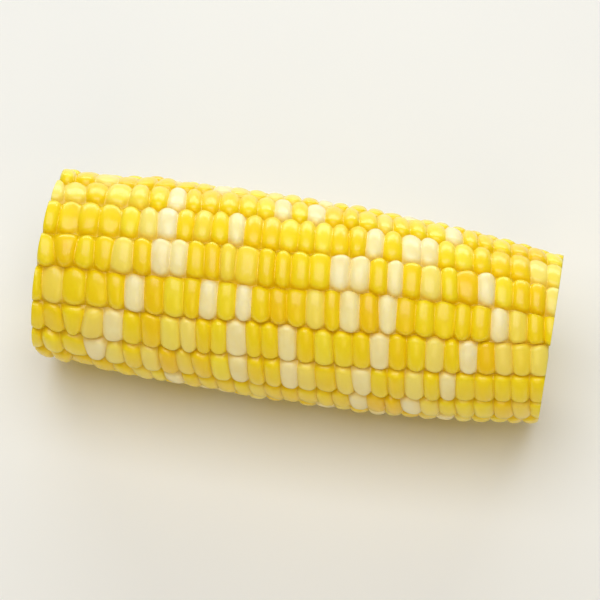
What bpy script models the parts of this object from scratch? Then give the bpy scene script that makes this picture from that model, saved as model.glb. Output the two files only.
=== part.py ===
"""A short trimmed cob of bicolour sweetcorn, lying on its side.

The cob is one grown piece, so it is one solid: rows of kernels round a core, cut flat at
both ends. It lies along X with its stalk (butt) end at -X and its tip end at +X. The
ground is Z = 0, and the origin is under the middle of the cob.
"""

import math
import random

import bmesh
import bpy
import numpy as np

# Driving dimensions, in metres
COB_LENGTH = 0.114
COB_DIAMETER = 0.047  # over the kernels' crowns at the fattest place
ROWS = 16  # rows of kernels; always even, because they grow in pairs
KERNEL_PITCH = 0.0039  # one kernel to the next along a row
CREASE_DEPTH = 0.0011  # between two kernels of one row
GROOVE_DEPTH = 0.0019  # between two rows

# The barrel shape of the whole cob
FATTEST_AT = 0.46  # share of the length, from the butt end
BUTT_NARROWING = 0.09  # share of the radius lost at the butt end
TIP_NARROWING = 0.18  # and at the tip end
BARREL_POWER = 2.2
ROW_TWIST = math.radians(21)  # how far the rows wind round the cob over its length

# How unevenly it grew
SEED = 5
PITCH_JITTER = 0.10  # share of a pitch
CROWN_UNEVENNESS = 0.00025  # how far one kernel's crown stands proud or low, at most
SHORTEST_CUT_KERNEL = 0.45  # share of a pitch that an end cut leaves of a kernel
GROOVE_WANDER = 0.0005  # sideways, in metres
GROOVE_WAVES = (2.0, 3.6)  # waves of that wandering over the cob's length

# Within a kernel, places run from -1 to 1 along its row and across it. Its crown is flat
# along the row out to CROWN_ALONG, and domed across it.
CROWN_ALONG = 0.42
SHOULDER_ACROSS = 0.6
DOME_POWER = 2.8
LINES_ALONG = (-1.0, -CROWN_ALONG, CROWN_ALONG)
LINES_ACROSS = (-1.0, -SHOULDER_ACROSS, 0.0, SHOULDER_ACROSS)

RADIUS = COB_DIAMETER / 2
BUTT_X = -COB_LENGTH / 2
TIP_X = COB_LENGTH / 2
KERNELS_PER_ROW = max(4, round(COB_LENGTH / KERNEL_PITCH))
ROW_ANGLE = 2 * math.pi / ROWS


def clear_scene():
    for thing in list(bpy.data.objects):
        bpy.data.objects.remove(thing, do_unlink=True)


def crown_radius(x):
    """The radius over the kernels' crowns at x: a long barrel, narrower at the tip."""
    along = (x - BUTT_X) / COB_LENGTH
    towards_butt = np.clip((FATTEST_AT - along) / FATTEST_AT, 0, None)
    towards_tip = np.clip((along - FATTEST_AT) / (1 - FATTEST_AT), 0, None)
    butt_share = BUTT_NARROWING * towards_butt**BARREL_POWER
    tip_share = TIP_NARROWING * towards_tip**BARREL_POWER
    return RADIUS * (1 - butt_share - tip_share)


def kernel_ends(rng):
    """Where one row's kernels begin and end along X: KERNELS_PER_ROW + 1 places.

    The end cuts go through the row's first and last kernels, so those reach past them.
    """
    first = rng.uniform(SHORTEST_CUT_KERNEL, 1.0) * KERNEL_PITCH
    last = rng.uniform(SHORTEST_CUT_KERNEL, 1.0) * KERNEL_PITCH
    creases = np.linspace(BUTT_X + first, TIP_X - last, KERNELS_PER_ROW - 1)
    for index in range(1, len(creases) - 1):
        creases[index] += rng.uniform(-1, 1) * PITCH_JITTER * KERNEL_PITCH
    return [creases[0] - KERNEL_PITCH, *creases, creases[-1] + KERNEL_PITCH]


def row_lines(ends, heights):
    """For each line across one row, cut to cut: X, its place within its kernel, and how
    far that kernel stands proud."""
    x, along, proud = [], [], []
    for start, end, height in zip(ends[:-1], ends[1:], heights):
        kept_start, kept_end = max(start, BUTT_X), min(end, TIP_X)
        for place in LINES_ALONG:
            here = kept_start + (place + 1) / 2 * (kept_end - kept_start)
            x.append(here)
            along.append(2 * (here - start) / (end - start) - 1)
            proud.append(height)
    x.append(TIP_X)
    along.append(2 * (TIP_X - ends[-2]) / (ends[-1] - ends[-2]) - 1)
    proud.append(heights[-1])
    return np.array(x), np.array(along), np.array(proud)


def groove_shape(rng):
    """The size and phase of each wave in which one groove wanders sideways."""
    most = GROOVE_WANDER / len(GROOVE_WAVES)
    return [(rng.uniform(0.3, 1) * most, rng.uniform(0, 2 * math.pi)) for _ in GROOVE_WAVES]


def groove_angle(groove, x, shape):
    """The angle round the cob of the groove before a row, 0 being straight down.

    Groove 0 lies there, so that the cob rests on the crowns of the two rows beside it.
    """
    along = (x - BUTT_X) / COB_LENGTH
    sideways = 0
    for count, (size, phase) in zip(GROOVE_WAVES, shape):
        sideways = sideways + size * np.sin(2 * math.pi * count * along + phase)
    return groove * ROW_ANGLE - ROW_TWIST * (along - 0.5) + sideways / RADIUS


def kernel_heights(rng):
    return [rng.uniform(-1, 1) * CROWN_UNEVENNESS for _ in range(KERNELS_PER_ROW)]


def crown_drop(along, across, proud):
    """How far the surface lies below a smooth crown at a place within one kernel."""
    down_to_crease = np.clip((np.abs(along) - CROWN_ALONG) / (1 - CROWN_ALONG), 0, None)
    down_to_groove = abs(across) ** DOME_POWER
    own_height = proud * (1 - np.maximum(down_to_crease, down_to_groove))
    return CREASE_DEPTH * down_to_crease + GROOVE_DEPTH * down_to_groove - own_height


def cob_surface():
    """The kernelled surface as a grid: [column round the cob, line along it, xyz]."""
    rng = random.Random(SEED)
    rows = [row_lines(kernel_ends(rng), kernel_heights(rng)) for _ in range(ROWS)]
    grooves = [groove_shape(rng) for _ in range(ROWS)]
    columns = []
    for row in range(ROWS):
        row_x, row_along, proud = rows[row]
        for across in LINES_ACROSS:
            x, along = row_x, row_along
            if across == LINES_ACROSS[0]:
                # A groove runs level between two rows, halfway down their creases.
                x = (rows[row - 1][0] + row_x) / 2
                along = np.full_like(x, (CROWN_ALONG + 1) / 2)
            before = groove_angle(row, x, grooves[row])
            after = groove_angle(row + 1, x, grooves[(row + 1) % ROWS])
            angle = before + (across + 1) / 2 * (after - before)
            radius = crown_radius(x) - crown_drop(along, across, proud)
            columns.append(np.stack([x, radius * np.sin(angle), -radius * np.cos(angle)], 1))
    return np.array(columns)


def plain_material(name, colour, roughness):
    material = bpy.data.materials.new(name)
    material.use_nodes = True
    shader = material.node_tree.nodes["Principled BSDF"]
    shader.inputs["Base Color"].default_value = (*colour, 1)
    shader.inputs["Roughness"].default_value = roughness
    return material


def make_cob():
    """The whole cob as one closed mesh: the kernelled surface and the two cut faces."""
    surface = cob_surface()
    low, high = surface.min(axis=(0, 1)), surface.max(axis=(0, 1))
    lift = np.array([0, -(low[1] + high[1]) / 2, -low[2]])
    surface = surface + lift

    shape = bmesh.new()
    grid = [[shape.verts.new(point) for point in column] for column in surface]
    beside = grid[1:] + grid[:1]
    for here, after in zip(grid, beside):
        for line in range(len(here) - 1):
            shape.faces.new((here[line], here[line + 1], after[line + 1], after[line]))
    for end_x, line in ((BUTT_X, 0), (TIP_X, -1)):
        middle = shape.verts.new((end_x, lift[1], lift[2]))
        for here, after in zip(grid, beside):
            shape.faces.new((middle, here[line], after[line])).material_index = 1
    bmesh.ops.recalc_face_normals(shape, faces=shape.faces)

    mesh = bpy.data.meshes.new("corn_cob")
    shape.to_mesh(mesh)
    shape.free()
    mesh.materials.append(plain_material("kernels", (0.86, 0.62, 0.09), 0.35))
    mesh.materials.append(plain_material("cut_faces", (0.86, 0.79, 0.58), 0.7))
    cob = bpy.data.objects.new("corn_cob", mesh)
    bpy.context.scene.collection.objects.link(cob)


clear_scene()
make_cob()
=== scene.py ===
"""The looks of a short trimmed cob of bicolour sweetcorn, lying on a pale floor.

The whole cob is one closed mesh: a grid of fine lines over each row of kernels, a narrow
seam down each groove between two rows, and a round cut face at each end. All sizes are
in metres, and X runs along the cob from its butt end to its tip end.
"""

import math
import random

import bpy
import numpy as np
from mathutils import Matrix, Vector, noise


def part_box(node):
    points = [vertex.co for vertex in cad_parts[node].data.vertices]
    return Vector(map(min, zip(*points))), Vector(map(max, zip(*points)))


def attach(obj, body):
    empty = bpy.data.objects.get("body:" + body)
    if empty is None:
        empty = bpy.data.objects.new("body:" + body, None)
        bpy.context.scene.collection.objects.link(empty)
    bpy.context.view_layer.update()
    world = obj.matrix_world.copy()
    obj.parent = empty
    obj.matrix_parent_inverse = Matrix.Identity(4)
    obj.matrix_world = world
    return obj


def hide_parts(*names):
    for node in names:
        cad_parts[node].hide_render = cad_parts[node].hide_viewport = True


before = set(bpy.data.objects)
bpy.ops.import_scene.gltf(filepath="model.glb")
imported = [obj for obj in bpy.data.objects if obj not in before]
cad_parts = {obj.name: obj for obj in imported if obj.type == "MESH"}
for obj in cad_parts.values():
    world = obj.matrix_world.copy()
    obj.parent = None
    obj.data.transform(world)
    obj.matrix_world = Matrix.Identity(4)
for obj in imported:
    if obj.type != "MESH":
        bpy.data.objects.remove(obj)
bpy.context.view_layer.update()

MM = 0.001
LOW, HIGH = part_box("corn_cob")
BUTT_X, TIP_X = LOW.x, HIGH.x
LENGTH = TIP_X - BUTT_X
RADIUS = (HIGH.z - LOW.z) / 2
AXIS_Z = (HIGH.z + LOW.z) / 2

# The cob, with the same rows as its CAD solid
ROWS = 16
PITCH = 3.9 * MM
KERNELS = round(LENGTH / PITCH)  # in each row
ROW_ANGLE = 2 * math.pi / ROWS
HALF_ROW = RADIUS * math.sin(ROW_ANGLE / 2)
ROW_TWIST = math.radians(21)
FATTEST_AT = 0.46  # share of the length, from the butt end
BUTT_NARROWING = 0.09  # share of the radius lost at the butt end
TIP_NARROWING = 0.18  # and at the tip end
BARREL_POWER = 2.2
GROOVE_WANDER = 0.5 * MM  # sideways
GROOVE_WAVES = (2.0, 3.6)  # waves of that wandering over the cob's length
WAVE_SIZES = (0.3, 1)  # least and most, as a share of what one wave may be
SHORTEST_CUT_KERNEL = 0.45  # share of a pitch that an end cut leaves of a kernel

# How kernels differ. A spread is a standard deviation, and a limit is the least and most.
WIDTH_SPREAD, WIDTH_LIMITS = 0.075, (0.8, 1.3)  # share of the mean width along the row
BUTT_WIDENING = 0.22  # extra width of the kernels near the butt end, as a share
LEAN_SPREAD, BUTT_LEAN_GAIN = 0.022, 3  # the gain is for those near the butt end
DEPTH_SPREAD, DEPTH_LIMITS = 0.13, (0.7, 1.4)  # share of the crease depth
HEIGHT_SPREAD = 0.13 * MM
TILT_ALONG_SPREAD = 0.08 * MM
TILT_ACROSS_SPREAD = 0.10 * MM
END_SPREAD, END_LIMITS = 0.05, (0.28, 0.75)  # of each kernel's END_SHARE
BUTT_END_GAIN = 0.2  # added to END_SHARE near the butt end, which makes kernels rounder
SHADE_MIDDLE, SHADE_SPREAD = 0.5, 0.26
LIFT_SPREAD = 0.1 * MM  # of whole rows
UNEVEN_UP_TO = 0.24  # how far the butt's uneven kernels reach, as a share of the length
UNEVEN_FADE = 0.09  # the share of it over which they fade out

# The shape of one kernel: a long dome with round ends, its width across the row
CREASE_DEPTH = 0.95 * MM
GROOVE_DEPTH = 1.2 * MM
PIT_DEPTH = 1.5 * MM  # how fast the pit where four kernels meet deepens from their outlines
DOME_HEIGHT = 0.5 * MM  # across the row
OUTLINE_POWER = 2.4  # 2 would make each end a half ellipse
DOME_POWER = 2.15
GROOVE_POWER = 4.2  # sharper edges towards the grooves than towards the creases
END_SHARE = 0.38  # share of the half width that a round end takes
SCALLOP = 0.22 * MM  # how far kernels push into the row beside them
RIM_POWER = 4  # how late a kernel's own height and tilt fade out towards its edges
NOT_ZERO = 1e-6  # keeps the middle of a kernel from dividing 0 by 0
EDGE_SHARPNESS = 0.985  # 1 would make a kernel's edge stand upright
SEAM_WIDTH = 0.1 * MM  # the bottom of a groove, between two rows
LEAN = math.tan(math.radians(6))  # kernels stand about square to their wound rows

# The grid over one kernel
STEPS_ALONG = 11
STEPS_ACROSS = 15
CLOSENESS = 0.65  # of the lines near a kernel's edges: 0 would space them evenly

# Rows seen from the front, from the top one down, and about where along each its white
# kernels are. The other rows have theirs at random.
WHITE_AT_MM = {
    5: (-19, 4, 20),
    6: (-30, -7, 3, 33),
    7: (-32, -13.5, 14.5, 23, 28),
    8: (-28.5, -24, 11.5, 15.5, 23, 41),
    9: (-35, -19, -10.5, 12.5, 21, 45),
    10: (-36.5, -10.5, 2, 22.5, 39.5),
    11: (-43, -10.5, 1.5, 17.5, 35),
    12: (-25, 15.5, 29),
}
WHITE_SHARE = 0.2  # of the kernels in the other rows
PALE_SHARE = 0.27  # of all kernels, before the white ones are placed
SEED = 23
WHITENESS = (0.85, 1.0)  # of a white kernel: 0 is yellow and 1 is white
PALENESS = (0.1, 0.45)  # the same for a pale yellow one


def crown_radius(x):
    """The radius over the kernels' crowns at x."""
    along = (x - BUTT_X) / LENGTH
    towards_butt = np.clip((FATTEST_AT - along) / FATTEST_AT, 0, None)
    towards_tip = np.clip((along - FATTEST_AT) / (1 - FATTEST_AT), 0, None)
    butt_share = BUTT_NARROWING * towards_butt**BARREL_POWER
    tip_share = TIP_NARROWING * towards_tip**BARREL_POWER
    return RADIUS * (1 - butt_share - tip_share)


def unevenness(x):
    """How irregular the kernels are at x: 0 over most of the cob, 1 at its butt end."""
    return np.clip((BUTT_X + UNEVEN_UP_TO * LENGTH - x) / (UNEVEN_FADE * LENGTH), 0, 1)


def closer_at_edges(steps):
    """Places from -1 to 1, closer together towards both ends."""
    even = np.linspace(-1, 1, steps + 1)
    return (1 - CLOSENESS) * even + CLOSENESS * np.sin(even * math.pi / 2)


PLACES_ALONG = closer_at_edges(STEPS_ALONG)
PLACES_ACROSS = closer_at_edges(STEPS_ACROSS)


class Row:
    """One row's kernels: a value for each crease, or for each kernel between two."""

    def __init__(self, number, rng):
        self.number = number

        def each(count, middle, spread):
            return np.array([rng.gauss(middle, spread) for _ in range(count)])

        first = rng.uniform(SHORTEST_CUT_KERNEL, 1.0) * PITCH
        last = rng.uniform(SHORTEST_CUT_KERNEL, 1.0) * PITCH
        even = np.linspace(BUTT_X + first, TIP_X - last, KERNELS - 1)
        widths = np.clip(each(KERNELS - 2, 1, WIDTH_SPREAD), *WIDTH_LIMITS)
        widths *= 1 + BUTT_WIDENING * unevenness(even[1:])
        shares = np.concatenate([[0], np.cumsum(widths)]) / widths.sum()
        inner = even[0] + (even[-1] - even[0]) * shares
        self.creases = np.array([inner[0] - PITCH, *inner, inner[-1] + PITCH])
        middles = (self.creases[1:] + self.creases[:-1]) / 2
        uneven = unevenness(middles)

        lean_gain = 1 + BUTT_LEAN_GAIN * unevenness(self.creases)
        self.leans = LEAN + each(KERNELS + 1, 0, LEAN_SPREAD) * lean_gain
        self.depths = CREASE_DEPTH * np.clip(each(KERNELS + 1, 1, DEPTH_SPREAD), *DEPTH_LIMITS)
        self.heights = each(KERNELS, 0, HEIGHT_SPREAD) * (1 + uneven)
        self.tilts_along = each(KERNELS, 0, TILT_ALONG_SPREAD) * (1 + uneven)
        self.tilts_across = each(KERNELS, 0, TILT_ACROSS_SPREAD)
        ends = each(KERNELS, END_SHARE, END_SPREAD) + BUTT_END_GAIN * uneven
        self.ends = np.clip(ends, *END_LIMITS)
        self.shades = np.clip(each(KERNELS, SHADE_MIDDLE, SHADE_SPREAD), 0, 1)
        self.whites = self.whiteness(middles, rng)
        self.lift = rng.gauss(0, LIFT_SPREAD)
        most = GROOVE_WANDER / len(GROOVE_WAVES)
        self.wander = [
            (rng.uniform(*WAVE_SIZES) * most, rng.uniform(0, 2 * math.pi)) for _ in GROOVE_WAVES
        ]

    def whiteness(self, middles, rng):
        """For each kernel, 0 for yellow, less than a half for pale yellow, near 1 for white."""
        draws = np.array([rng.random() for _ in middles])
        strength = np.array([rng.uniform(*WHITENESS) for _ in middles])
        pale = np.array([rng.uniform(*PALENESS) for _ in middles])
        white = np.where(draws > 1 - PALE_SHARE, pale, 0.0)
        if self.number in WHITE_AT_MM:
            for place in WHITE_AT_MM[self.number]:
                nearest = np.argmin(abs(middles - place * MM))
                white[nearest] = strength[nearest]
        else:
            white = np.where(draws < WHITE_SHARE, strength, white)
        return white

    def bulge(self, x, side):
        """How far the row's edge stands out at x: 1 beside a kernel, -1 beside a crease."""
        creases = self.creases + self.leans * side * HALF_ROW
        return -np.cos(2 * math.pi * np.interp(x, creases, np.arange(len(creases))))


def groove_angle(rows, groove, x):
    """The angle round the cob of the groove before a row, 0 being straight down."""
    along = (x - BUTT_X) / LENGTH
    before, after = rows[(groove - 1) % ROWS], rows[groove % ROWS]
    sideways = SCALLOP / 2 * (before.bulge(x, 1) - after.bulge(x, -1))
    for count, (size, phase) in zip(GROOVE_WAVES, after.wander):
        wave = size * np.sin(2 * math.pi * count * along + phase)
        sideways = sideways + wave * (1 + unevenness(x))
    return groove * ROW_ANGLE - ROW_TWIST * (along - 0.5) + sideways / RADIUS


def rounded(place, power):
    """0 in the middle of a kernel and 1 at its edge, steepest at the edge."""
    rise = 1 - (1 - np.abs(EDGE_SHARPNESS * place) ** power) ** (1 / power)
    return rise / (1 - (1 - EDGE_SHARPNESS**power) ** (1 / power))


def kernel_drop(along, across, crease_depth, end_share):
    """How far a kernel's surface lies below a smooth crown, at places from -1 to 1."""
    end = np.clip((np.abs(across) - 1 + end_share) / end_share, 0, None)
    out = (np.abs(along) ** OUTLINE_POWER + end**OUTLINE_POWER) ** (1 / OUTLINE_POWER)
    towards_groove = end**2 / (end**2 + along**2 + NOT_ZERO)
    depth = crease_depth + towards_groove * (GROOVE_DEPTH - crease_depth)
    pit = PIT_DEPTH * np.clip(out - 1, 0, None)
    power = DOME_POWER + towards_groove * (GROOVE_POWER - DOME_POWER)
    return depth * rounded(np.minimum(out, 1), power) + pit


def row_surface(rows, row):
    """One row as a grid of points, [line along, place across, xyz]. With it come the
    kernel that each strip between two lines is of, and each point's height above the
    grooves, from 0 to 1 on a crown."""
    kernels = np.append(np.repeat(np.arange(KERNELS), STEPS_ALONG), KERNELS - 1)
    places = np.append(np.tile(PLACES_ALONG[:-1], KERNELS), 1.0)[:, None]
    across = PLACES_ACROSS[None, :]

    def of_line(values):
        return values[kernels][:, None]

    starts = of_line(row.creases[:-1]) + of_line(row.leans[:-1]) * across * HALF_ROW
    ends = of_line(row.creases[1:]) + of_line(row.leans[1:]) * across * HALF_ROW
    kept_starts = np.maximum(starts, BUTT_X)
    kept_ends = np.minimum(ends, TIP_X)
    x = kept_starts + (places + 1) / 2 * (kept_ends - kept_starts)
    along = 2 * (x - starts) / (ends - starts) - 1

    crease_depth = np.where(along < 0, of_line(row.depths[:-1]), of_line(row.depths[1:]))
    drop = kernel_drop(along, across, crease_depth, of_line(row.ends))
    tilt = of_line(row.tilts_along) * along + of_line(row.tilts_across) * across
    inside = (1 - along**RIM_POWER) * (1 - across**RIM_POWER)
    drop = drop + DOME_HEIGHT * across**2 - (of_line(row.heights) + tilt) * inside

    seam = SEAM_WIDTH / 2 / RADIUS
    before = groove_angle(rows, row.number, x) + seam
    after = groove_angle(rows, row.number + 1, x) - seam
    angle = before + (across + 1) / 2 * (after - before)
    radius = crown_radius(x) + row.lift * (1 - across**2) - drop
    points = np.stack([x, radius * np.sin(angle), -radius * np.cos(angle)], axis=-1)
    crown = 1 - np.clip(drop / (DOME_HEIGHT + GROOVE_DEPTH), 0, 1)
    return points, kernels[:-1], crown


SKIN, CUT = 0, 1  # which of the cob's two materials a face has


class Surface:
    """Points and faces of the cob, with what its materials need to know about each."""

    def __init__(self):
        self.points, self.crown, self.section, self.across = [], [], [], []
        self.faces, self.white, self.shade, self.material = [], [], [], []
        self.maps = []
        self.count = 0

    def add_points(self, points, crown, section, across):
        """Adds points, and returns their numbers in the shape that they came in."""
        shape = points.shape[:-1]
        numbers = self.count + np.arange(points.size // 3).reshape(shape)
        self.count += numbers.size
        self.points.append(points.reshape(-1, 3))
        for kept, given in ((self.crown, crown), (self.section, section), (self.across, across)):
            kept.append(np.broadcast_to(given, shape).reshape(-1))
        return numbers

    def add_faces(self, corners, maps, white, shade, material):
        """Adds faces: their corners, and each corner's place on the flat map."""
        self.faces.extend(map(tuple, corners.tolist()))
        self.maps.append(maps.reshape(-1, 2))
        count = len(corners)
        for kept, given in ((self.white, white), (self.shade, shade), (self.material, material)):
            kept.append(np.broadcast_to(given, count))

    def add_grid(self, numbers, maps, white, shade, material):
        """Adds a square for each four neighbours in a grid of points."""

        def of_squares(values, axis):
            four = (values[:-1, :-1], values[:-1, 1:], values[1:, 1:], values[1:, :-1])
            return np.stack(four, axis)

        corners = of_squares(numbers, -1).reshape(-1, 4)
        self.add_faces(corners, of_squares(maps, -2), white, shade, material)


# The flat map, a square: the skin unrolled, with the two cut faces above it
MAP_SIDE = 0.172  # how much of the cob's surface fits along one side
MAP_EDGE = 0.002  # left free round each part
MAP_ROW = 2 * math.pi * RADIUS / ROWS
MAP_ROW_SHARE = 0.97  # what a row covers of its strip of the map


def skin_map(x, row_and_across):
    """The place on the flat map of a point of the skin; rows count from 0 to ROWS."""
    u = MAP_EDGE + MAP_ROW * row_and_across
    v = MAP_EDGE + x - BUTT_X
    return np.stack([u / MAP_SIDE, v / MAP_SIDE], -1)


def cut_map(points, cut_number):
    """The place on the flat map of a point of a cut face, 0 at the butt end or 1."""
    u = MAP_EDGE + RADIUS + cut_number * (2 * RADIUS + MAP_EDGE) + points[..., 1]
    v = 2 * MAP_EDGE + LENGTH + RADIUS + points[..., 2]
    return np.stack([u / MAP_SIDE, v / MAP_SIDE], -1)


def sew(surface, left, right, left_maps, right_maps, left_x, right_x, row):
    """Joins the edges of two rows at the bottom of the groove between them."""
    corners, maps, white, shade = [], [], [], []
    i = j = 0
    left_end, right_end = len(left) - 1, len(right) - 1
    while i < left_end or j < right_end:
        if j == right_end or (i < left_end and left_x[i + 1] <= right_x[j + 1]):
            corners.append((left[i], right[j], left[i + 1]))
            maps.append((left_maps[i], right_maps[j], left_maps[i + 1]))
            i += 1
        else:
            corners.append((left[i], right[j], right[j + 1]))
            maps.append((left_maps[i], right_maps[j], right_maps[j + 1]))
            j += 1
        kernel = min(i // STEPS_ALONG, KERNELS - 1)
        white.append(row.whites[kernel])
        shade.append(row.shades[kernel])
    surface.add_faces(np.array(corners), np.array(maps), white, shade, SKIN)


# The cut faces. Places on them have a section number: -1 in the middle, 0 at the edge of
# the pith, 1 of the woody ring and 2 of the chaff, and 3 at the kernels' rim.
PITH_RADIUS = 5.6 * MM
WOOD_RADIUS = 10.2 * MM
CHAFF_RADIUS = 12.9 * MM
INNER_RADII = (3.2 * MM, 1.2 * MM)  # rings within the pith
CUT_ZONES = (  # from the rim inwards: inner radius, rings, and section number there
    (CHAFF_RADIUS, 7, 2.0),
    (WOOD_RADIUS, 3, 1.0),
    (PITH_RADIUS, 4, 0.0),
)
MIDDLE_SECTION, RIM_SECTION = -1.0, 3.0
SKIN_SECTION = 4.0  # of the skin, and so of the rim's own points; over 3 counts as 3

# How far each zone stands out from the cut or sinks below it, and the size and scale of
# its lumps
KERNEL_GAP, GAP_POWER = 0.9 * MM, 8
KERNEL_SINK = 0.22 * MM
WOOD_STANDS = 0.12 * MM
CHAFF_SINK = 0.15 * MM
PITH_SINK = 0.55 * MM
KERNEL_LUMPS = (0.10 * MM, 2.0 * MM)
CHAFF_LUMPS = (0.5 * MM, 0.9 * MM)
WOOD_LUMPS = (0.12 * MM, 0.7 * MM)
PITH_LUMPS = (0.30 * MM, 1.3 * MM)


def roughly(point, size, scale):
    """Smooth random height at a point, for lumps of about that scale."""
    return size * noise.noise(Vector(point) / scale)


def cut_height(point, radius, rim, across):
    """How far a cut face stands out at a point, in metres."""
    if radius > CHAFF_RADIUS:
        out = (radius - CHAFF_RADIUS) / (rim - CHAFF_RADIUS)
        gap = -KERNEL_GAP * out * abs(across) ** GAP_POWER
        flesh = -KERNEL_SINK * math.sin(math.pi * min(out, 1)) * (1 - across**2)
        return gap + flesh + roughly(point, *KERNEL_LUMPS)
    if radius > WOOD_RADIUS:
        return -CHAFF_SINK + roughly(point, *CHAFF_LUMPS)
    if radius > PITH_RADIUS:
        return WOOD_STANDS + roughly(point, *WOOD_LUMPS)
    hollow = 1 - (radius / PITH_RADIUS) ** 2
    return -PITH_SINK * hollow + roughly(point, *PITH_LUMPS)


def cut_ring(cut_x, outwards, radii, angles, rims, across):
    """One ring of points on a cut face, each at its own height."""
    across_plane = np.stack([radii * np.sin(angles), -radii * np.cos(angles)], -1)
    points = np.insert(across_plane, 0, cut_x, axis=1)
    for index, point in enumerate(points):
        height = cut_height(point, radii[index], rims[index], across[index])
        point[0] += outwards * height
    return points


def add_cut_face(surface, rim_numbers, rim_points, whites, shades, outwards, cut_number):
    """Closes one end: rings of points from the kernels' rim to the middle of the cob."""
    across = np.tile(PLACES_ACROSS, ROWS)
    angles = np.arctan2(rim_points[:, 1], -rim_points[:, 2])
    rims = np.hypot(rim_points[:, 1], rim_points[:, 2])
    cut_x = rim_points[0, 0]
    rings, ring_maps = [rim_numbers], [cut_map(rim_points, cut_number)]

    def add_ring(radii, places_across, section):
        points = cut_ring(cut_x, outwards, radii, angles, rims, places_across)
        rings.append(surface.add_points(points, 1.0, section, places_across))
        ring_maps.append(cut_map(points, cut_number))

    outer, outer_section = rims, RIM_SECTION
    for inner, count, inner_section in CUT_ZONES:
        for step in range(1, count + 1):
            share = step / count
            section = outer_section + share * (inner_section - outer_section)
            add_ring(outer + share * (inner - outer), across, section)
        outer, outer_section = np.full_like(rims, inner), inner_section
    for radius in INNER_RADII:
        add_ring(np.full_like(rims, radius), np.zeros_like(across), radius / PITH_RADIUS - 1)

    numbers, maps = np.array(rings), np.array(ring_maps)
    numbers = np.concatenate([numbers, numbers[:, :1]], axis=1)
    maps = np.concatenate([maps, maps[:, :1]], axis=1)
    if outwards < 0:
        numbers, maps = numbers[::-1], maps[::-1]
    ring_count = len(rings) - 1
    face_whites = np.tile(np.repeat(whites, STEPS_ACROSS + 1), ring_count)
    face_shades = np.tile(np.repeat(shades, STEPS_ACROSS + 1), ring_count)
    surface.add_grid(numbers, maps, face_whites, face_shades, CUT)

    middle_height = cut_height((cut_x, 0, 0), 0, RADIUS, 0)
    middle_point = np.array([[cut_x + outwards * middle_height, 0, 0]])
    middle = surface.add_points(middle_point, 1.0, MIDDLE_SECTION, 0)[0]
    ring, ring_map = rings[-1], ring_maps[-1]
    fan = np.stack([np.full_like(ring, middle), np.roll(ring, -1), ring], -1)
    middle_map = np.broadcast_to(cut_map(middle_point, cut_number), ring_map.shape)
    fan_maps = np.stack([middle_map, np.roll(ring_map, -1, axis=0), ring_map], 1)
    if outwards > 0:
        fan, fan_maps = fan[:, ::-1], fan_maps[:, ::-1]
    surface.add_faces(fan, fan_maps, 0, SHADE_MIDDLE, CUT)


def build_surface():
    rng = random.Random(SEED)
    rows = [Row(number, rng) for number in range(ROWS)]
    surface = Surface()
    grids, grid_maps, grid_points = [], [], []
    for row in rows:
        points, line_kernels, crown = row_surface(rows, row)
        numbers = surface.add_points(points, crown, SKIN_SECTION, PLACES_ACROSS[None, :])
        places = row.number + (PLACES_ACROSS[None, :] * MAP_ROW_SHARE + 1) / 2
        maps = skin_map(points[..., 0], np.broadcast_to(places, points.shape[:-1]))
        white = np.repeat(row.whites[line_kernels], STEPS_ACROSS)
        shade = np.repeat(row.shades[line_kernels], STEPS_ACROSS)
        surface.add_grid(numbers, maps, white, shade, SKIN)
        grids.append(numbers)
        grid_maps.append(maps)
        grid_points.append(points)
    for index, row in enumerate(rows):
        after = (index + 1) % ROWS
        after_maps = grid_maps[after][:, 0].copy()
        if after == 0:
            after_maps[:, 0] += ROWS * MAP_ROW / MAP_SIDE
        sew(
            surface,
            grids[index][:, -1],
            grids[after][:, 0],
            grid_maps[index][:, -1],
            after_maps,
            grid_points[index][:, -1, 0],
            grid_points[after][:, 0, 0],
            row,
        )
    for line, kernel, outwards, cut_number in ((0, 0, -1, 0), (-1, KERNELS - 1, 1, 1)):
        rim_numbers = np.concatenate([grid[line] for grid in grids])
        rim_points = np.concatenate([points[line] for points in grid_points])
        whites = [row.whites[kernel] for row in rows]
        shades = [row.shades[kernel] for row in rows]
        add_cut_face(surface, rim_numbers, rim_points, whites, shades, outwards, cut_number)
    return surface


def make_cob():
    surface = build_surface()
    points = np.concatenate(surface.points)
    points[:, 2] -= points[:, 2].min()

    mesh = bpy.data.meshes.new("sweetcorn")
    mesh.from_pydata(points.tolist(), [], surface.faces)
    for name, domain, values in (
        ("crown", "POINT", surface.crown),
        ("section", "POINT", surface.section),
        ("across", "POINT", surface.across),
        ("white", "FACE", surface.white),
        ("shade", "FACE", surface.shade),
    ):
        attribute = mesh.attributes.new(name, "FLOAT", domain)
        attribute.data.foreach_set("value", np.concatenate(values).astype(np.float32))
    mesh.polygons.foreach_set("material_index", np.concatenate(surface.material).astype(np.int32))
    mesh.polygons.foreach_set("use_smooth", np.ones(len(mesh.polygons), bool))
    uv = mesh.uv_layers.new(name="OFBake")
    uv.data.foreach_set("uv", np.concatenate(surface.maps).astype(np.float32).ravel())
    mesh.update()

    cob = bpy.data.objects.new("sweetcorn", mesh)
    bpy.context.scene.collection.objects.link(cob)
    mesh.materials.append(skin_material())
    mesh.materials.append(cut_material())
    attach(cob, "root")
    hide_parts("corn_cob")


def colour(red, green, blue):
    """A colour given as 0 to 255 in sRGB, as the linear values that shaders take."""
    linear = []
    for part in (red, green, blue):
        share = part / 255
        linear.append(share / 12.92 if share <= 0.04045 else ((share + 0.055) / 1.055) ** 2.4)
    return (*linear, 1.0)


# The mix node's sockets for colours, which share their names with those for numbers
MIX_FIRST, MIX_SECOND, MIX_RESULT = 6, 7, 2


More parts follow.
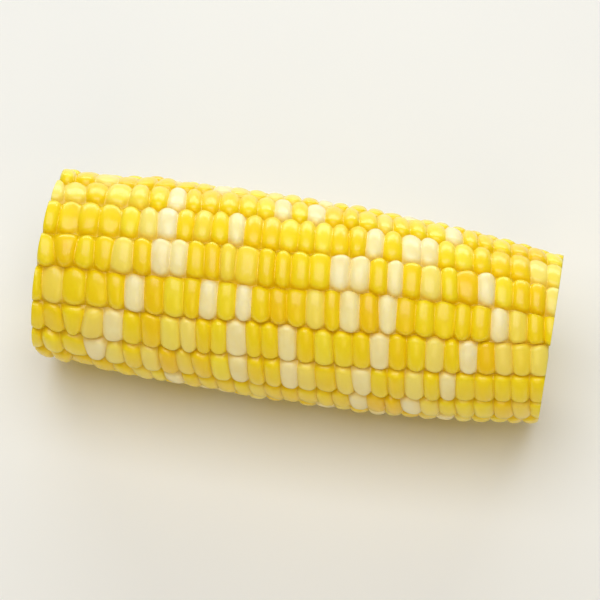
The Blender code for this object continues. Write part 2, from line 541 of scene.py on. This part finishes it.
class Nodes:
    """Short forms for making a material's nodes."""

    def __init__(self, name):
        self.material = bpy.data.materials.new(name)
        self.material.use_nodes = True
        self.tree = self.material.node_tree
        self.shader = self.tree.nodes["Principled BSDF"]
        self.place = self.add("ShaderNodeTexCoord").outputs["Object"]

    def add(self, kind, **settings):
        node = self.tree.nodes.new(kind)
        for name, value in settings.items():
            setattr(node, name, value)
        return node

    def set(self, socket, value):
        """Links the socket to another's output, or sets it to a plain value."""
        if isinstance(value, bpy.types.NodeSocket):
            self.tree.links.new(value, socket)
        else:
            socket.default_value = value

    def attribute(self, name):
        return self.add("ShaderNodeAttribute", attribute_name=name).outputs["Fac"]

    def shade_with(self, **sockets):
        """Sets the shader's inputs; an underscore stands for a space in an input's name."""
        for name, value in sockets.items():
            self.set(self.shader.inputs[name.replace("_", " ")], value)

    def noise(self, scale, detail):
        node = self.add("ShaderNodeTexNoise")
        self.set(node.inputs["Vector"], self.place)
        node.inputs["Scale"].default_value = scale
        node.inputs["Detail"].default_value = detail
        return node.outputs["Fac"]

    def math(self, operation, first, second=0.0, third=0.0):
        node = self.add("ShaderNodeMath", operation=operation)
        for socket, value in zip(node.inputs, (first, second, third)):
            self.set(socket, value)
        return node.outputs["Value"]

    def range(self, value, low, high, to_low=0.0, to_high=1.0, smooth=True):
        kind = "SMOOTHSTEP" if smooth else "LINEAR"
        node = self.add("ShaderNodeMapRange", interpolation_type=kind)
        self.set(node.inputs["Value"], value)
        limits = {"From Min": low, "From Max": high, "To Min": to_low, "To Max": to_high}
        for name, number in limits.items():
            node.inputs[name].default_value = number
        return node.outputs["Result"]

    def mix(self, share, first, second):
        node = self.add("ShaderNodeMix", data_type="RGBA")
        self.set(node.inputs["Factor"], share)
        self.set(node.inputs[MIX_FIRST], first)
        self.set(node.inputs[MIX_SECOND], second)
        return node.outputs[MIX_RESULT]

    def ramp(self, value, *stops):
        node = self.add("ShaderNodeValToRGB")
        self.set(node.inputs["Fac"], value)
        elements = node.color_ramp.elements
        while len(elements) < len(stops):
            elements.new(0.5)
        for element, (position, shade) in zip(elements, stops):
            element.position = position
            element.color = shade
        return node.outputs["Color"]

    def bump(self, height, distance):
        node = self.add("ShaderNodeBump")
        self.set(node.inputs["Height"], height)
        node.inputs["Distance"].default_value = distance
        return node.outputs["Normal"]


# The kernels' skin. A noise's scale is about how many waves of it go to a metre.
SKIN_SOFT_SCALE, SKIN_FINE_SCALE, SKIN_DETAIL = 260.0, 1500.0, 3.0
SKIN_MOTTLE = 0.4  # how far the soft noise shifts a kernel's shade, from least to most
YELLOWS = (
    (0.0, colour(249, 206, 1)),
    (0.35, colour(251, 216, 3)),
    (0.7, colour(252, 223, 14)),
    (1.0, colour(253, 230, 52)),
)
WHITES = ((0.3, colour(250, 230, 168)), (0.7, colour(255, 242, 196)))
PALE_YELLOW = colour(252, 232, 120)
# Colours towards the creases and grooves: partly the kernels' own deeper colour, partly painted
# shade
SHADED_DEEP_YELLOW, SHADED_DEEP_WHITE = colour(233, 198, 0), colour(238, 211, 116)
PALE_AT = 0.5  # the whiteness of a kernel that is wholly pale yellow
DEEP_FROM, DEEPEST_AT = 0.78, 0.0  # heights above the grooves, as a share of a crown's, where the painted crease shade starts and where it is strongest
SKIN_ROUGHNESS = (0.32, 0.42)
ROUGHNESS_NOISE = (0.3, 0.7)  # the fine noise at each of those two
SKIN_FINE_BUMP = 0.4  # beside the soft noise's 1
SKIN_BUMP = 0.10 * MM


def skin_material():
    """Kernel skin: glossy, slightly see-through, yellow or white, and deeper in the creases:
    partly its own deeper colour there, partly painted shade.
    """
    nodes = Nodes("kernel_skin")
    soft = nodes.noise(SKIN_SOFT_SCALE, SKIN_DETAIL)
    fine = nodes.noise(SKIN_FINE_SCALE, SKIN_DETAIL)
    mottle = nodes.math("MULTIPLY_ADD", soft, SKIN_MOTTLE, -SKIN_MOTTLE / 2)
    yellow = nodes.ramp(nodes.math("ADD", nodes.attribute("shade"), mottle), *YELLOWS)
    whiteness = nodes.attribute("white")
    towards_pale = nodes.range(whiteness, 0.0, PALE_AT, smooth=False)
    towards_white = nodes.range(whiteness, PALE_AT, 1.0, smooth=False)
    yellow_or_pale = nodes.mix(towards_pale, yellow, PALE_YELLOW)
    crown_colour = nodes.mix(towards_white, yellow_or_pale, nodes.ramp(soft, *WHITES))
    shaded_deep_colour = nodes.mix(whiteness, SHADED_DEEP_YELLOW, SHADED_DEEP_WHITE)
    # Painted shade: towards the creases and grooves the colour turns deeper and darker, partly
    # the kernels' own colour and partly standing in for the shade there
    depth = nodes.range(nodes.attribute("crown"), DEEP_FROM, DEEPEST_AT)
    bump = nodes.math("MULTIPLY_ADD", fine, SKIN_FINE_BUMP, soft)
    nodes.shade_with(
        Base_Color=nodes.mix(depth, crown_colour, shaded_deep_colour),
        Roughness=nodes.range(fine, *ROUGHNESS_NOISE, *SKIN_ROUGHNESS),
        Normal=nodes.bump(bump, SKIN_BUMP),
        Subsurface_Weight=0.35,
        Subsurface_Radius=(1.0, 0.95, 0.25),
        Subsurface_Scale=2.2 * MM,
        IOR=1.45,
        Specular_IOR_Level=0.35,
        Coat_Weight=0.5,
        Coat_Roughness=0.18,
    )
    return nodes.material


# The cut faces' flesh. Places on them are told by their section number as a share, which is
# 0 in the middle, 0.25 at the edge of the pith, 0.5 of the woody ring, 0.75 of the chaff
# and 1 at the kernels' rim.
CUT_SOFT_SCALE, CUT_SOFT_DETAIL = 320.0, 3.0
CUT_FINE_SCALE, CUT_FINE_DETAIL = 1400.0, 4.0
ZONE_WANDER = 0.5  # how far the zones' edges wander, in section numbers
CORE_COLOURS = (
    (0.0, colour(246, 240, 218)),
    (0.22, colour(242, 233, 200)),
    (0.27, colour(216, 192, 122)),
    (0.36, colour(236, 218, 162)),
    (0.50, colour(230, 208, 142)),
    (0.54, colour(245, 235, 206)),
    (0.75, colour(243, 229, 184)),
)
KERNELS_FROM = (0.72, 0.80)  # where chaff turns into kernel
HULL_FROM = (0.86, 1.0)  # where flesh turns into hull, towards the rim
GROOVE_FROM = (0.45, 1.0)  # and towards the grooves, as a share of half a kernel's width
YELLOW_FLESH, YELLOW_HULL = colour(252, 234, 140), colour(250, 206, 30)
WHITE_FLESH, WHITE_HULL = colour(252, 246, 222), colour(249, 236, 184)
SPECK_COLOUR = colour(206, 172, 96)
SPECK_NOISE = (0.45, 0.75)  # the fine noise where specks begin, and where they are strongest
CORE_SPECKS, KERNEL_SPECKS = 0.25, 0.06  # how strong
CORE_ROUGHNESS, KERNEL_ROUGHNESS = 0.7, 0.3
CORE_GRAIN, KERNEL_GRAIN = 1.0, 0.25
CUT_BUMP = 0.25 * MM


def cut_material():
    """The cut ends: pith, woody ring and chaff, and kernels in their hulls."""
    nodes = Nodes("cut_flesh")
    soft = nodes.noise(CUT_SOFT_SCALE, CUT_SOFT_DETAIL)
    fine = nodes.noise(CUT_FINE_SCALE, CUT_FINE_DETAIL)
    wander = nodes.math("MULTIPLY_ADD", soft, ZONE_WANDER, -ZONE_WANDER / 2)
    section = nodes.math("ADD", nodes.attribute("section"), wander)
    share = nodes.range(section, MIDDLE_SECTION, RIM_SECTION, smooth=False)
    in_kernels = nodes.range(share, *KERNELS_FROM)
    across = nodes.math("ABSOLUTE", nodes.attribute("across"))
    towards_groove = nodes.range(across, *GROOVE_FROM)
    towards_hull = nodes.math("MAXIMUM", nodes.range(share, *HULL_FROM), towards_groove)
    yellow = nodes.mix(towards_hull, YELLOW_FLESH, YELLOW_HULL)
    white = nodes.mix(towards_hull, WHITE_FLESH, WHITE_HULL)
    kernels = nodes.mix(nodes.attribute("white"), yellow, white)
    flesh = nodes.mix(in_kernels, nodes.ramp(share, *CORE_COLOURS), kernels)
    speck_strength = nodes.range(in_kernels, 0.0, 1.0, CORE_SPECKS, KERNEL_SPECKS)
    specks = nodes.math("MULTIPLY", nodes.range(fine, *SPECK_NOISE), speck_strength)
    grain = nodes.range(in_kernels, 0.0, 1.0, CORE_GRAIN, KERNEL_GRAIN)
    nodes.shade_with(
        Base_Color=nodes.mix(specks, flesh, SPECK_COLOUR),
        Roughness=nodes.range(in_kernels, 0.0, 1.0, CORE_ROUGHNESS, KERNEL_ROUGHNESS),
        Normal=nodes.bump(nodes.math("MULTIPLY", fine, grain), CUT_BUMP),
        Subsurface_Weight=0.3,
        Subsurface_Radius=(1.0, 0.7, 0.35),
        Subsurface_Scale=1.5 * MM,
    )
    return nodes.material


FLOOR_REACH = 6.0  # from the middle of the cob to each side
FLOOR_COLOURS = (colour(236, 236, 236), colour(240, 240, 239))
FLOOR_SCALE, FLOOR_DETAIL = 14.0, 3.0
FLOOR_ROUGHNESS = 0.8


def floor_material():
    nodes = Nodes("pale_floor")
    mottle = nodes.noise(FLOOR_SCALE, FLOOR_DETAIL)
    nodes.shade_with(Base_Color=nodes.mix(mottle, *FLOOR_COLOURS), Roughness=FLOOR_ROUGHNESS)
    return nodes.material


def make_floor():
    corners = [
        (-FLOOR_REACH, -FLOOR_REACH, 0),
        (FLOOR_REACH, -FLOOR_REACH, 0),
        (FLOOR_REACH, FLOOR_REACH, 0),
        (-FLOOR_REACH, FLOOR_REACH, 0),
    ]
    mesh = bpy.data.meshes.new("floor")
    mesh.from_pydata(corners, [], [(0, 1, 2, 3)])
    mesh.materials.append(floor_material())
    floor = bpy.data.objects.new("floor", mesh)
    bpy.context.scene.collection.objects.link(floor)


# Lights and camera, all turned to the middle of the cob
MIDDLE = Vector((0, 0, AXIS_Z))
LIGHTS = (  # name, place, width and height, watts, tint
    ("back", (-0.10, 0.75, 0.28), (1.0, 0.3), 4.0, (0.98, 1.0, 0.94)),
    ("top", (-0.05, 0.0, 0.80), (0.8, 0.8), 5.2, (0.99, 1.0, 1.0)),
    ("front", (0.20, -0.75, 0.55), (0.5, 0.5), 1.7, (1.0, 0.78, 0.36)),
)
WORLD_COLOUR = (1, 0.96, 0.88, 1)
WORLD_STRENGTH = 0.15
CAMERA_AZIMUTH = math.radians(10.1)
CAMERA_ELEVATION = math.radians(60.5)
CAMERA_DISTANCE = 0.62
LENS_MM, SENSOR_MM = 165.0, 36.0


def look_from(thing, place):
    thing.location = place
    thing.rotation_euler = (MIDDLE - Vector(place)).to_track_quat("-Z", "Y").to_euler()


def add_soft_light(name, place, size, watts, tint):
    light = bpy.data.lights.new(name, "AREA")
    light.shape = "RECTANGLE"
    light.size, light.size_y = size
    light.energy = watts
    light.color = tint
    lamp = bpy.data.objects.new(name, light)
    bpy.context.scene.collection.objects.link(lamp)
    look_from(lamp, place)


def light_scene():
    world = bpy.data.worlds.new("studio")
    bpy.context.scene.world = world
    world.use_nodes = True
    background = world.node_tree.nodes["Background"]
    background.inputs["Color"].default_value = WORLD_COLOUR
    background.inputs["Strength"].default_value = WORLD_STRENGTH
    for light in LIGHTS:
        add_soft_light(*light)


def add_camera():
    """A long lens, nearly square on to the cob and well above it."""
    back = Vector((
        math.sin(CAMERA_AZIMUTH) * math.cos(CAMERA_ELEVATION),
        -math.cos(CAMERA_AZIMUTH) * math.cos(CAMERA_ELEVATION),
        math.sin(CAMERA_ELEVATION),
    ))
    lens = bpy.data.cameras.new("camera")
    lens.sensor_width = SENSOR_MM
    lens.lens = LENS_MM
    camera = bpy.data.objects.new("camera", lens)
    bpy.context.scene.collection.objects.link(camera)
    look_from(camera, MIDDLE + CAMERA_DISTANCE * back)
    bpy.context.scene.camera = camera


make_cob()
make_floor()
light_scene()
add_camera()
bpy.context.scene.view_settings.view_transform = "Standard"
